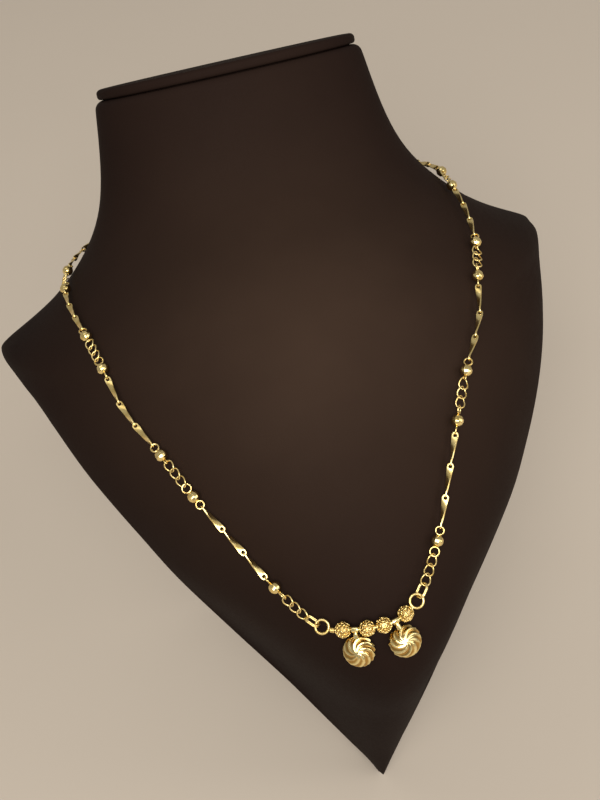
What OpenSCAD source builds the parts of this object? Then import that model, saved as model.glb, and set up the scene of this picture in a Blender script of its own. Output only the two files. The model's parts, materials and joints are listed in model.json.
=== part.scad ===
// Mangalsutra necklace, worn on a plain covered neck bust.
// The bust is drawn upright with its neck along +Z, its face to -Y and its lowest tip near
// the origin. Every piece is then leaned back with it, so that the bust stands on its tip
// and on an easel leg. Lengths are in millimetres and angles in degrees.

/* [Bust] */
// Backward lean of the neck
lean = 30; // [28:1:32]
// Width of the shoulders, which scales the bust from side to side
shoulder_w = 204; // [196:1:212]
// Thickness of the plate that closes the neck
cap_t = 3.4; // [2.5:0.1:4.5]
// Depth of the groove under the neck plate
groove_d = 2.2; // [1.5:0.1:3]

/* [Easel] */
// Thickness of the leg board and of the foot plate
board_t = 3; // [2.5:0.5:4]
// Width of the foot plate at its back edge
foot_w = 84; // [70:1:90]
// Width of the leg board at its top
leg_top_w = 44; // [36:1:52]

/* [Small balls and rings] */
// Diameter of a plain ball
ball_d = 3.65; // [3.5:0.05:3.8]
// Wire of the soldered rings
ring_wire = 0.5; // [0.45:0.01:0.52]
// Outer diameter of a ring soldered to a ball
ring_od = 2.9; // [2.8:0.05:3]
// Running distance from ball to ball over a run of bars
bar_run = 35.6; // [35.4:0.1:35.8]
// Running distance from ball to ball over a run of chain
chain_run = 15.8; // [15.6:0.1:16]

/* [Bars] */
// Width of a bar over its flat eye
bar_w = 2.1; // [2:0.05:2.2]
// Wire of a bar's two eyes
eye_wire = 0.42; // [0.4:0.01:0.46]
// Thickness of the twisted blade
blade_t = 0.55; // [0.45:0.05:0.65]
// Turn of the bars about the strand, so that their flat eyes face the middle more
lay_turn = 40; // [0:5:60]

/* [Chain] */
// Wire of a chain link
link_wire = 0.48; // [0.46:0.01:0.5]
// Width of a link over its wire
link_w = 3.6; // [3.5:0.05:3.8]
// Length of a link over its wire
link_l = 4.1; // [4:0.05:4.2]
// Height of the wave that a link's wire makes
link_wave = 0.42; // [0.4:0.01:0.44]
// Outer diameter of the ball's ring that holds the chain
hold_od = 3.2; // [3.1:0.05:3.3]
// Length of the two oval links over their wire
oval_l = 5; // [4.8:0.05:5.1]
// Width of the two oval links over their wire
oval_w = 3.4; // [3.3:0.05:3.6]
// Wire of the oval links, which goes round twice
oval_wire = 0.48; // [0.44:0.01:0.5]

/* [Centre piece] */
// Wire that carries the beads and the two cups
wire_d = 0.74; // [0.7:0.01:0.76]
// Diameter of a granulated bead over its grains
bead_d = 4.75; // [4.65:0.05:4.8]
// Outer diameter of the wire's end loops
loop_od = 4.75; // [4.6:0.05:4.9]
// Diameter of a cup over its scalloped rim
cup_d = 9.8; // [9.6:0.1:9.9]
// Height of a cup's dome
cup_h = 3.1; // [2.8:0.1:3.4]
// Distance from the wire's middle to the cup's middle
cup_drop = 6.9; // [6.8:0.05:7.1]
// Radial play of the cup's tube on the wire
bail_play = 0.07; // [0.05:0.01:0.09]

/* [Clasp] */
// Diameter of the barrel clasp
barrel_d = 3.2; // [3:0.1:3.6]

/* [Hidden] */

// Sections of the bust, from the tip up to the top of the neck
Z = 0;
FRONT = 1;
HALF = 2;
WIDEST = 3;
BACK = 4;
FULL = 5;
SECTIONS = [
    // height, front, half width, depth of the widest line, back, fullness of the front
    [4, 8, 1.2, 11, 16, 2],
    [18, -7, 5, 0, 7, 2],
    [34, -24, 10.5, -12, -4, 2.4],
    [60, -54, 20, -29, -20, 3],
    [85, -83, 30, -42, -33, 3.2],
    [106, -108, 40, -50, -41, 3],
    [125, -122, 49, -57, -48, 2.6],
    [143, -120.5, 58, -61, -52, 2],
    [158, -118, 65, -61, -50, 2],
    [170, -115.5, 71.5, -57, -44, 1.9],
    [181, -112.5, 78, -49, -32, 1.8],
    [192, -108, 84, -38, -12, 1.6],
    [202, -103, 91.5, -16, 16, 1.4],
    [210, -98, 102, 24, 38, 1.3],
    [218, -91, 94, 14, 42, 1.15],
    [226, -82, 81.5, 6, 42, 1],
    [234, -71, 71.5, 0, 40, 0.95],
    [242, -59, 63.5, -2, 37, 0.95],
    [250, -48, 57, -1, 35, 1],
    [258, -42, 53, 0, 34, 1],
    [268, -38, 50.2, 0, 33, 1],
    [280, -36, 48.2, 0, 33, 1],
    [290, -35, 47, 0, 33, 1],
];
// The strand's way round the neck: angle about the neck from the front, height, and the
// clearance from the bust to the strand's middle
TURN = 0;
HEIGHT = 1;
CLEAR = 2;
ROUTE = [
    // turn, height, clearance
    [-180, 257, 2.6],
    [-157, 254.5, 2.6],
    [-134, 248, 2.6],
    [-110, 240.5, 2.3],
    [-89.5, 237.6, 2.3],
    [-74.9, 233.7, 2.3],
    [-62.5, 229.6, 2.4],
    [-50, 224, 2.6],
    [-39.4, 216.2, 2.6],
    [-37.6, 204.6, 2.4],
    [-36.4, 192.5, 2.3],
    [-34.3, 180, 2.3],
    [-30.5, 165.7, 2.3],
    [-25.8, 151.7, 2.4],
    [-17.6, 140.3, 2.9],
    [-8.9, 138.8, 2.9],
    [-3.7, 138.4, 2.9],
    [1.8, 138.8, 2.9],
    [8.2, 142.1, 2.9],
    [16.7, 155.9, 2.4],
    [20.9, 170, 2.3],
    [24.3, 184.5, 2.3],
    [27.4, 196.5, 2.3],
    [30.3, 207.7, 2.3],
    [34.6, 217, 2.4],
    [45.2, 224.7, 2.4],
    [57.2, 232.2, 2.3],
    [69.1, 238.7, 2.3],
    [88, 242.6, 2.3],
    [110, 244.5, 2.3],
    [134, 250, 2.6],
    [157, 255.5, 2.6],
    [180, 257, 2.6],
];
// Row of ROUTE next to the middle of the centre piece, the distance from that row to the
// middle, and the samples per row
MID_ROW = 16;
MID_AHEAD = -0.05;
SAMPLES = 10;

// Shoulder width that SECTIONS are drawn for
drawn_w = 204;
side_scale = shoulder_w / drawn_w;
// How deep a ring is sunk into the ball that it is soldered to
sunk = 0.22;
// Play of two joined rings along the strand
play = 0.15;
chain_play = 0.2;
// The left side hangs a little slacker next to the centre piece
slack = 0.08;
ball_r = ball_d / 2;
ring_mid = (ring_od - ring_wire) / 2;
ring_seat = ball_r + ring_od / 2 - sunk;
hold_mid = (hold_od - ring_wire) / 2;
hold_seat = ball_r + hold_od / 2 - sunk;
hold_tilt = 36;
tie_wire = 0.42;
tie_mid = 0.68;
tie_seat = ball_r + tie_mid + tie_wire / 2 - sunk;
eye_mid = (bar_w - eye_wire) / 2;
link_half_w = (link_w - link_wire) / 2;
link_half_l = (link_l - link_wire) / 2;
loop_mid = (loop_od - wire_d) / 2;
rim_r = cup_d / 2;

// Distances between the middles of joined pieces
ball_to_bar = ring_mid + eye_mid - (ring_wire + eye_wire) / 2 - play;
bar_to_bar = 2 * eye_mid - eye_wire - play;
bar_l = (bar_run - 2 * (ring_seat + ball_to_bar + bar_to_bar)) / 3;
hold_to_link = hold_mid + link_half_l - (ring_wire + link_wire) / 2 - chain_play;
link_to_tie = tie_mid + link_half_l - (tie_wire + link_wire) / 2 - chain_play;
link_to_link = (chain_run - hold_seat - hold_to_link - link_to_tie - tie_seat) / 2;
loop_to_oval = (loop_od + oval_l) / 2 - wire_d - oval_wire - play - 0.13;
oval_to_link = (oval_l + link_l) / 2 - oval_wire - link_wire - play - 0.05;
first_to_next = 2 * link_half_l - link_wire - chain_play - 0.03;

// Wire of the centre piece: places of its bends, of its two end loops and of its coil
BENDS = [-12, -7.15, -4.85, 0, 4.85, 7.15, 12];
left_loop = 16.1;
left_loop_turn = 28;
right_loop = 14.5;
right_loop_turn = -20;
coil_at = 12.8;
cup_at = 6;

function dot3(a, b) = a[0] * b[0] + a[1] * b[1] + a[2] * b[2];
function unit(v) = v / norm(v);

// Smooth curve through a table's rows, for a place between row i and row i + 1
function row_slope(rows, i, by) =
    let (a = max(0, i - 1), b = min(len(rows) - 1, i + 1))
    (rows[b] - rows[a]) / (by[b] - by[a]);
function row_between(rows, by, i, t) =
    let (
        h = by[i + 1] - by[i],
        m0 = row_slope(rows, i, by) * h,
        m1 = row_slope(rows, i + 1, by) * h,
        t2 = t * t,
        t3 = t2 * t
    )
    rows[i] * (2 * t3 - 3 * t2 + 1) + m0 * (t3 - 2 * t2 + t)
    + rows[i + 1] * (3 * t2 - 2 * t3) + m1 * (t3 - t2);

HEIGHTS = [for (s = SECTIONS) s[Z]];
function section_index(z, i = 0) =
    i >= len(HEIGHTS) - 2 || z < HEIGHTS[i + 1] ? i : section_index(z, i + 1);
function section(z) =
    let (i = section_index(z), t = (z - HEIGHTS[i]) / (HEIGHTS[i + 1] - HEIGHTS[i]))
    row_between(SECTIONS, HEIGHTS, i, t);

// Point of a section at an angle round the neck: 0 is the front, 90 the right side
function section_point(s, turn) =
    let (c = cos(turn), x = side_scale * s[HALF] * sin(turn))
    c >= 0
        ? [x, s[WIDEST] - (s[WIDEST] - s[FRONT]) * pow(c, s[FULL]), s[Z]]
        : [x, s[WIDEST] + (s[BACK] - s[WIDEST]) * pow(-c, 0.6), s[Z]];
function skin(turn, z) = section_point(section(z), turn);
function skin_normal(turn, z) =
    let (
        e = 0.5,
        du = skin(turn + e, z) - skin(turn - e, z),
        dv = skin(turn, z + e) - skin(turn, z - e)
    )
    unit(cross(du, dv));

// Running distances along a row of points
function running(points) = [
    for (
        i = 0, s = 0;
        i < len(points);
        s = s + (i < len(points) - 1 ? norm(points[i + 1] - points[i]) : 0), i = i + 1
    ) s
];

// The route's points, which stand off the bust by their clearance, and the smooth strand
// and the directions away from the bust between them
STOPS = [for (r = ROUTE) skin(r[TURN], r[HEIGHT]) + r[CLEAR] * skin_normal(r[TURN], r[HEIGHT])];
STOPS_AT = running(STOPS);
function smooth(rows) = [
    for (i = [0 : len(rows) - 2], k = [0 : SAMPLES - 1])
        row_between(rows, STOPS_AT, i, k / SAMPLES),
    rows[len(rows) - 1]
];
POINTS = smooth(STOPS);
AWAY = smooth([for (r = ROUTE) skin_normal(r[TURN], r[HEIGHT])]);
RUNNING = running(POINTS);
MIDDLE = RUNNING[MID_ROW * SAMPLES] + MID_AHEAD;
strand_l = RUNNING[len(RUNNING) - 1];
function table_of(rows, i) = [for (k = [0 : len(rows) - 1]) [RUNNING[k] - MIDDLE, rows[k][i]]];
POINTS_BY = [for (i = [0 : 2]) table_of(POINTS, i)];
AWAY_BY = [for (i = [0 : 2]) table_of(AWAY, i)];

// Running distance from the middle, positive to the right, taken round the closed strand
function closed(s) =
    s > strand_l - MIDDLE ? s - strand_l : (s < -MIDDLE ? s + strand_l : s);
function strand(s) = [for (i = [0 : 2]) lookup(closed(s), POINTS_BY[i])];
function outward(s) = unit([for (i = [0 : 2]) lookup(closed(s), AWAY_BY[i])]);

// Matrix of a frame whose Z runs from a to b and whose Y points away from the bust
function frame_between(a, b, out) =
    let (
        along = unit(b - a),
        away = unit(out - along * dot3(out, along)),
        across = cross(away, along),
        m = (a + b) / 2
    )
    [
        [across[0], away[0], along[0], m[0]],
        [across[1], away[1], along[1], m[1]],
        [across[2], away[2], along[2], m[2]],
        [0, 0, 0, 1]
    ];

// The same frame, with its origin at a share of the way from a to b
function frame_at(a, b, share, out) =
    let (m = frame_between(a, b, out), o = a + (b - a) * share)
    [
        [m[0][0], m[0][1], m[0][2], o[0]],
        [m[1][0], m[1][1], m[1][2], o[1]],
        [m[2][0], m[2][1], m[2][2], o[2]],
        [0, 0, 0, 1]
    ];

// Frame of a piece at distance d outwards from the middle, on the right (side 1) or on the
// left (side -1): the points back and ahead of it lie on the strand
function piece_frame(side, d, back, ahead) =
    frame_at(
        strand(side * (d - back)),
        strand(side * (d + ahead)),
        back / (back + ahead),
        outward(side * d)
    );

module placed(side, d, back, ahead) {
    multmatrix(piece_frame(side, d, back, ahead))
        children();
}

// The lean, with the lowest corner of the tip let into the table by foot_cut
foot_cut = 1.5;
drop = SECTIONS[0][BACK] * sin(lean) - SECTIONS[0][Z] * cos(lean) - foot_cut;
// Depth of the middle of the whole stand behind the bust's own origin
middle_y = 64.45;
module leaned() {
    translate([0, -middle_y, drop])
        rotate([-lean, 0, 0])
            children();
}

module lofted(loops) {
    n = len(loops[0]);
    rows = len(loops);
    points = [for (l = loops, p = l) p];
    sides = [
        for (r = [0 : rows - 2], k = [0 : n - 1])
            let (a = r * n + k, b = r * n + (k + 1) % n)
            each [[a, a + n, b + n], [a, b + n, b]]
    ];
    bottom = [for (k = [0 : n - 1]) k];
    top = [for (k = [0 : n - 1]) (rows - 1) * n + n - 1 - k];
    polyhedron(points = points, faces = concat(sides, [bottom, top]), convexity = 6);
}

// Closed tube along a path: frames come from the path, and a closed path joins up
module tube_loop(path, r, sides) {
    n = len(path);
    rings = [
        for (i = [0 : n - 1])
            let (
                along = unit(path[(i + 1) % n] - path[(i + n - 1) % n]),
                away = unit(cross(along, [0.02, 1, 0.03])),
                up = cross(along, away)
            )
            [for (k = [0 : sides - 1])
                path[i] + r * (cos(360 * k / sides) * away + sin(360 * k / sides) * up)]
    ];
    points = [for (l = rings, p = l) p];
    faces = [
        for (i = [0 : n - 1], k = [0 : sides - 1])
            let (
                a = i * sides + k,
                b = i * sides + (k + 1) % sides,
                c = ((i + 1) % n) * sides + (k + 1) % sides,
                d = ((i + 1) % n) * sides + k
            )
            each [[a, d, c], [a, c, b]]
    ];
    polyhedron(points = points, faces = faces, convexity = 4);
}

// Round ring in the XZ plane
module ring(mid_r, wire) {
    rotate([90, 0, 0])
        rotate_extrude($fn = 32)
            translate([mid_r, 0])
                circle(d = wire, $fn = 16);
}

// Wire along an open path, mitred at its bends; out points away from the bust
module bent_wire(path, r, sides, out) {
    n = len(path);
    lofted([
        for (i = [0 : n - 1])
            let (
                along = unit(path[min(i + 1, n - 1)] - path[max(i - 1, 0)]),
                away = unit(out - along * dot3(out, along)),
                across = cross(along, away)
            )
            [for (k = [0 : sides - 1])
                path[i] + r * (cos(360 * k / sides) * away + sin(360 * k / sides) * across)]
    ]);
}

// Three close turns of wire round the carrying wire
module wrapped_coil() {
    turn = 0.44;
    cylinder(r = 0.56, h = 2 * turn, center = true, $fn = 32);
    for (i = [-1 : 1])
        translate([0, 0, i * turn])
            rotate_extrude($fn = 32)
                translate([0.56, 0])
                    circle(d = 0.5, $fn = 16);
}

// Ball with a soldered ring at each end; Z runs along the strand, and lay is the turn of
// the rings that hold bars
module ball_ring(kind, way, lay) {
    if (kind == "flat")
        translate([0, 0, way * ring_seat])
            rotate([0, 0, lay])
                ring(ring_mid, ring_wire);
    if (kind == "edge")
        translate([0, 0, way * ring_seat])
            rotate([0, 0, lay + 90])
                ring(ring_mid, ring_wire);
    if (kind == "hold")
        translate([0, 0, way * hold_seat])
            rotate([0, 0, way * hold_tilt])
                ring(hold_mid, ring_wire);
    if (kind == "tie")
        translate([0, 0, way * tie_seat])
            rotate([0, 0, 90])
                ring(tie_mid, tie_wire);
}
module ball(inner, outer, lay) {
    sphere(d = ball_d, $fn = 48);
    ball_ring(inner, -1, lay);
    ball_ring(outer, 1, lay);
}

// Distance of the first ball's middle from the middle of the centre piece
function loop_at(side) = side > 0 ? right_loop : left_loop;
function loose(side) = side > 0 ? 0 : slack;
function oval_at(side) = loop_at(side) + loop_to_oval - loose(side);
function first_link(side) = oval_at(side) + oval_to_link - loose(side);
function first_pitch(side) = first_to_next - loose(side);
function first_ball(side) =
    first_link(side) + 2 * first_pitch(side) + hold_to_link - loose(side) + hold_seat;
// Balls are numbered outwards; bars follow the odd balls and chain follows the even ones
function ball_at(side, n) =
    first_ball(side) + bar_run * floor(n / 2) + chain_run * floor((n - 1) / 2);
function ball_back(n) = n == 1 ? hold_seat : (n % 2 == 0 ? ring_seat : tie_seat);
function ball_ahead(n) = n % 2 == 0 ? hold_seat : ring_seat;

// Only the first run of bars on the left has its flat eyes towards the middle
function flat_first(side, run) = side < 0 && run == 1;
module strand_ball(side, n) {
    even_inner = flat_first(side, n / 2) ? "flat" : "edge";
    inner = n == 1 ? "hold" : (n % 2 == 0 ? even_inner : "tie");
    odd_outer = flat_first(side, (n + 1) / 2) ? "edge" : "flat";
    outer = n % 2 == 0 ? "hold" : odd_outer;
    placed(side, ball_at(side, n), ball_back(n), ball_ahead(n))
        ball(inner, outer, -side * lay_turn);
}

// Flat bar twisted by a quarter turn between two eyes; the eye at -Z lies in the XZ plane
module bar() {
    reach = bar_l / 2 - eye_mid + 0.1;
    blade_half = bar_w / 2 - 0.17;
    rows = 8;
    translate([0, 0, -bar_l / 2])
        ring(eye_mid, eye_wire);
    translate([0, 0, bar_l / 2])
        rotate([0, 0, 90])
            ring(eye_mid, eye_wire);
    lofted([
        for (i = [0 : rows])
            let (
                z = reach * (2 * i / rows - 1),
                turn = 90 * i / rows,
                w = blade_half + 0.1 * pow(abs(2 * i / rows - 1), 2),
                t = blade_t / 2
            )
            [for (p = [[w, -t], [w, t], [-w, t], [-w, -t]])
                [p[0] * cos(turn) - p[1] * sin(turn), p[0] * sin(turn) + p[1] * cos(turn), z]]
    ]);
}

// Three bars from an odd ball to the next one
module bar_row(side, k) {
    start = ball_at(side, 2 * k - 1) + ring_seat + ball_to_bar;
    for (i = [0 : 2])
        placed(side, start + i * (bar_l + bar_to_bar) + bar_l / 2, bar_l / 2, bar_l / 2)
            rotate([0, 0, (flat_first(side, k) ? 0 : 90) - side * lay_turn])
                bar();
}

// Curb link: an oval of wire that waves once up and down on each long side
module link() {
    steps = 12;
    path = [
        for (i = [0 : steps - 1])
            let (t = 360 * (i + 0.5) / steps)
            [link_half_w * cos(t), link_wave * sin(2 * t), link_half_l * sin(t)]
    ];
    tube_loop(path, link_wire / 2, 5);
}

// Three links from an even ball to the next one; run 1 starts at the oval link
module chain_row(side, k) {
    start = k == 1
        ? first_link(side)
        : ball_at(side, 2 * k - 2) + hold_seat + hold_to_link;
    pitch = k == 1 ? first_pitch(side) : link_to_link;
    for (i = [0 : 2])
        placed(side, start + i * pitch, 1.4, 1.4)
            link();
}

// Oval link of two turns of wire side by side
module oval_turn() {
    r = (oval_w - oval_wire) / 2;
    straight = (oval_l - oval_w) / 2;
    for (way = [-1, 1]) {
        translate([0, 0, way * straight])
            rotate([90, 0, 0])
                rotate([0, 0, way > 0 ? 0 : 180])
                    rotate_extrude(angle = 180, $fn = 32)
                        translate([r, 0])
                            circle(d = oval_wire, $fn = 16);
        translate([way * r, 0, 0])
            cylinder(d = oval_wire, h = 2 * straight, center = true, $fn = 16);
    }
}
module oval_link(side, tilt) {
    placed(side, oval_at(side), oval_l / 2, oval_l / 2)
        rotate([0, 0, tilt])
            for (y = [-0.45, 0.45])
                translate([0, y * oval_wire, 0])
                    oval_turn();
}

// Granulated bead with a collar at each end of its bore
module granulated_bead() {
    core = bead_d / 2 - 0.3;
    difference() {
        union() {
            sphere(r = core, $fn = 48);
            for (way = [-1, 1])
                translate([0, 0, way * (core - 0.12)])
                    rotate_extrude($fn = 32)
                        translate([0.9, 0])
                            circle(d = 0.56, $fn = 16);
            for (row = [[0, 10], [36, 8], [-36, 8]], i = [0 : row[1] - 1])
                rotate([0, 0, (i + 0.5 * sign(abs(row[0]))) * 360 / row[1]])
                    translate([core * cos(row[0]), 0, core * sin(row[0])])
                        sphere(d = 0.6, $fn = 16);
        }
        cylinder(r = wire_d / 2 + 0.13, h = bead_d + 2, center = true, $fn = 24);
    }
}
module wire_bead(from, to) {
    multmatrix(frame_between(strand(from), strand(to), outward((from + to) / 2)))
        granulated_bead();
}

// Domed cup with spiral flutes, its rim in the XY plane and its dome towards +Z
module cup() {
    lobes = 9;
    n = 54;
    wall = 0.5;
    swirl = 60;
    OUT = [12, 26, 42, 58, 74, 90];
    IN = [16, 34, 54, 72, 90];
    lofted(concat(
        [for (a = IN) cup_loop(a, rim_r - wall, cup_h - wall, n, lobes, swirl)],
        [for (i = [len(OUT) - 1 : -1 : 0]) cup_loop(OUT[i], rim_r, cup_h, n, lobes, swirl)]
    ));
}
function cup_loop(a, r, h, n, lobes, swirl) = [
    for (k = [0 : n - 1])
        let (
            t = 360 * k / n,
            lobe = abs(sin(lobes / 2 * (t - swirl * a / 90))),
            depth = 0.1 * max(0, (a - 16) / 74),
            m = 1 - depth * (1 - lobe)
        )
        [r * m * sin(a) * cos(t), r * m * sin(a) * sin(t), a == 90 ? 0 : h * m * cos(a)]
];

// A cup with the tube that turns on the wire; X is up, Y away from the bust, Z along the wire
module hung_cup() {
    tube_l = 2;
    tube_r = 0.85;
    rim_y = -2.45;
    tilt = -5;
    difference() {
        union() {
            cylinder(r = tube_r, h = tube_l, center = true, $fn = 32);
            rotate([0, 0, tilt]) {
                translate([-cup_drop, rim_y, 0])
                    rotate([-90, 0, 0])
                        cup();
                translate([-0.7, 0.05, 0])
                    rotate([0, -90, 8])
                        cylinder(r = 0.6, h = 2.5, $fn = 24);
            }
        }
        cylinder(r = wire_d / 2 + bail_play, h = tube_l + 2, center = true, $fn = 32);
    }
}
module vati(at) {
    multmatrix(frame_between(strand(at - 1.3), strand(at + 1.3), outward(at)))
        hung_cup();
}

module gold() {
    color("goldenrod")
        leaned()
            children();
}

// Sub-parts

function outline(z, inset, n) =
    let (
        s = section(z),
        t = [s[Z], s[FRONT] + inset, s[HALF] - inset, s[WIDEST], s[BACK] - inset, s[FULL]]
    )
    [for (k = [0 : n - 1]) section_point(t, 360 * k / n)];
function lifted(loop, z) = [for (p = loop) [p[0], p[1], z]];

module bust() {
    top = SECTIONS[len(SECTIONS) - 1][Z];
    levels = [
        4, 11, 18, 26, 34, 43, 52, 60, 68, 77, 85, 92, 99, 106, 112, 118, 125, 131, 137, 143,
        148, 153, 158, 162, 166, 170, 174, 178, 182, 186, 190, 194, 198, 202, 206, 210, 214,
        218, 222, 227, 232, 238, 246, 256, 270, top
    ];
    color("saddlebrown")
        difference() {
            leaned()
                lofted([for (z = levels) outline(z, 0, 36)]);
            translate([-50, -120, -20])
                cube([100, 120, 20]);
        }
}

module neck_cap() {
    top = SECTIONS[len(SECTIONS) - 1][Z];
    seat = top + 0.15;
    plate = top + 1.6;
    n = 36;
    color("sienna")
        leaned()
            lofted([
                lifted(outline(top, 2 + groove_d, n), seat),
                lifted(outline(top, 2 + groove_d, n), plate),
                lifted(outline(top, 2.6, n), plate + 0.01),
                lifted(outline(top, 2, n), plate + 0.7),
                lifted(outline(top, 2, n), plate + cap_t - 0.9),
                lifted(outline(top, 2.9, n), plate + cap_t)
            ]);
}

module easel_leg() {
    front = 16.2 - middle_y;
    back = 117 - middle_y;
    top_y = 20.6 - middle_y;
    top_z = 133;
    half = foot_w / 2;
    color("saddlebrown")
        union() {
            linear_extrude(height = board_t)
                polygon([
                    [-2, front], [2, front], [half, back - 6], [half, back],
                    [-half, back], [-half, back - 6]
                ]);
            intersection() {
                rotate([90, 0, 90])
                    linear_extrude(height = 2 * foot_w, center = true)
                        polygon([
                            [back, 0], [back, 1], [top_y + 0.6, top_z], [top_y, top_z],
                            [top_y - 0.6, top_z - 5], [back - board_t - 1, 0]
                        ]);
                rotate([90, 0, 0])
                    linear_extrude(height = 400, center = true)
                        polygon([
                            [-half, -1], [half, -1], [leg_top_w / 2, top_z + 1],
                            [-leg_top_w / 2, top_z + 1]
                        ]);
            }
        }
}

module centre_wire() {
    // the wire's ends are sunk into the end loops
    left_end = strand(-left_loop + loop_mid);
    right_end = strand(right_loop - loop_mid);
    gold() {
        bent_wire(
            [left_end, for (b = BENDS) strand(b), right_end],
            wire_d / 2,
            16,
            outward(0)
        );
        placed(-1, left_loop, loop_mid, loop_mid)
            rotate([0, 0, left_loop_turn])
                ring(loop_mid, wire_d);
        placed(1, right_loop, loop_mid, loop_mid)
            rotate([0, 0, right_loop_turn])
                ring(loop_mid, wire_d);
        placed(-1, coil_at, 0.5, 0.5)
            wrapped_coil();
    }
}

module bead_1() {
    gold()
        wire_bead(BENDS[0], BENDS[1]);
}

module bead_2() {
    gold()
        wire_bead(BENDS[2], BENDS[3]);
}

module bead_3() {
    gold()
        wire_bead(BENDS[3], BENDS[4]);
}

module bead_4() {
    gold()
        wire_bead(BENDS[5], BENDS[6]);
}

module vati_left() {
    gold()
        vati(-cup_at);
}

module vati_right() {
    gold()
        vati(cup_at);
}

module oval_link_left() {
    gold()
        oval_link(-1, left_loop_turn + 70);
}

module oval_link_right() {
    gold()
        oval_link(1, right_loop_turn - 56);
}

module chain_left_1() {
    gold()
        chain_row(-1, 1);
}

module chain_left_2() {
    gold()
        chain_row(-1, 2);
}

module chain_left_3() {
    gold()
        chain_row(-1, 3);
}

module chain_left_4() {
    gold()
        chain_row(-1, 4);
}

module chain_left_5() {
    gold()
        chain_row(-1, 5);
}

module ball_left_1() {
    gold()
        strand_ball(-1, 1);
}

module ball_left_2() {
    gold()
        strand_ball(-1, 2);
}

module ball_left_3() {
    gold()
        strand_ball(-1, 3);
}

module ball_left_4() {
    gold()
        strand_ball(-1, 4);
}

module ball_left_5() {
    gold()
        strand_ball(-1, 5);
}

module ball_left_6() {
    gold()
        strand_ball(-1, 6);
}

module ball_left_7() {
    gold()
        strand_ball(-1, 7);
}

module ball_left_8() {
    gold()
        strand_ball(-1, 8);
}

module ball_left_9() {
    gold()
        strand_ball(-1, 9);
}

module bars_left_1() {
    gold()
        bar_row(-1, 1);
}

module bars_left_2() {
    gold()
        bar_row(-1, 2);
}

module bars_left_3() {
    gold()
        bar_row(-1, 3);
}

module bars_left_4() {
    gold()
        bar_row(-1, 4);
}

module bars_left_5() {
    gold()
        bar_row(-1, 5);
}

module chain_right_1() {
    gold()
        chain_row(1, 1);
}

module chain_right_2() {
    gold()
        chain_row(1, 2);
}

module chain_right_3() {
    gold()
        chain_row(1, 3);
}

module chain_right_4() {
    gold()
        chain_row(1, 4);
}

module chain_right_5() {
    gold()
        chain_row(1, 5);
}

module ball_right_1() {
    gold()
        strand_ball(1, 1);
}

module ball_right_2() {
    gold()
        strand_ball(1, 2);
}

module ball_right_3() {
    gold()
        strand_ball(1, 3);
}

module ball_right_4() {
    gold()
        strand_ball(1, 4);
}

module ball_right_5() {
    gold()
        strand_ball(1, 5);
}

module ball_right_6() {
    gold()
        strand_ball(1, 6);
}

module ball_right_7() {
    gold()
        strand_ball(1, 7);
}

module ball_right_8() {
    gold()
        strand_ball(1, 8);
}

module ball_right_9() {
    gold()
        strand_ball(1, 9);
}

module bars_right_1() {
    gold()
        bar_row(1, 1);
}

module bars_right_2() {
    gold()
        bar_row(1, 2);
}

module bars_right_3() {
    gold()
        bar_row(1, 3);
}

module bars_right_4() {
    gold()
        bar_row(1, 4);
}

module bars_right_5() {
    gold()
        bar_row(1, 5);
}

module clasp() {
    // closes what is left of the loop between the two last bars
    right_end = ball_at(1, 9) + ring_seat + 3 * bar_l + 2 * (ball_to_bar + bar_to_bar);
    left_end = ball_at(-1, 9) + ring_seat + 3 * bar_l + 2 * (ball_to_bar + bar_to_bar);
    reach = (strand_l - right_end - left_end) / 2;
    // the straight barrel leaves the strand's bend, and its rings reach out a little more
    spread = 0.12;
    barrel_l = 2 * (reach + spread - ring_od / 2 + sunk);
    gold()
        placed(1, right_end + reach, reach, reach) {
            cylinder(d = barrel_d, h = barrel_l / 2, center = true, $fn = 32);
            for (way = [0, 180])
                rotate([way, 0, 0]) {
                    translate([0, 0, barrel_l / 4])
                        cylinder(d1 = barrel_d, d2 = 1.1, h = barrel_l / 4, $fn = 32);
                    translate([0, 0, reach + spread])
                        rotate([0, 0, 90])
                            ring(ring_mid, ring_wire);
                }
        }
}

bust();
neck_cap();
easel_leg();
centre_wire();
bead_1();
bead_2();
bead_3();
bead_4();
vati_left();
vati_right();
oval_link_left();
oval_link_right();
chain_left_1();
chain_left_2();
chain_left_3();
chain_left_4();
chain_left_5();
ball_left_1();
ball_left_2();
ball_left_3();
ball_left_4();
ball_left_5();
ball_left_6();
ball_left_7();
ball_left_8();
ball_left_9();
bars_left_1();
bars_left_2();
bars_left_3();
bars_left_4();
bars_left_5();
chain_right_1();
chain_right_2();
chain_right_3();
chain_right_4();
chain_right_5();
ball_right_1();
ball_right_2();
ball_right_3();
ball_right_4();
ball_right_5();
ball_right_6();
ball_right_7();
ball_right_8();
ball_right_9();
bars_right_1();
bars_right_2();
bars_right_3();
bars_right_4();
bars_right_5();
clasp();
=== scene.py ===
"""Looks of a mangalsutra necklace worn on a dark covered neck bust.

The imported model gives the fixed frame. The strand's route over the bust is worked out here
from the same short tables as in the part's source, so that each finer piece of gold lies
where its plain solid lies. Lengths in the tables are millimetres; Blender works in metres.
"""

import json
import logging
import math
from bisect import bisect_right
from dataclasses import dataclass
from enum import Enum
from typing import Callable, Iterable, Iterator, Sequence

import bpy
from mathutils import Matrix, Vector

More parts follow.
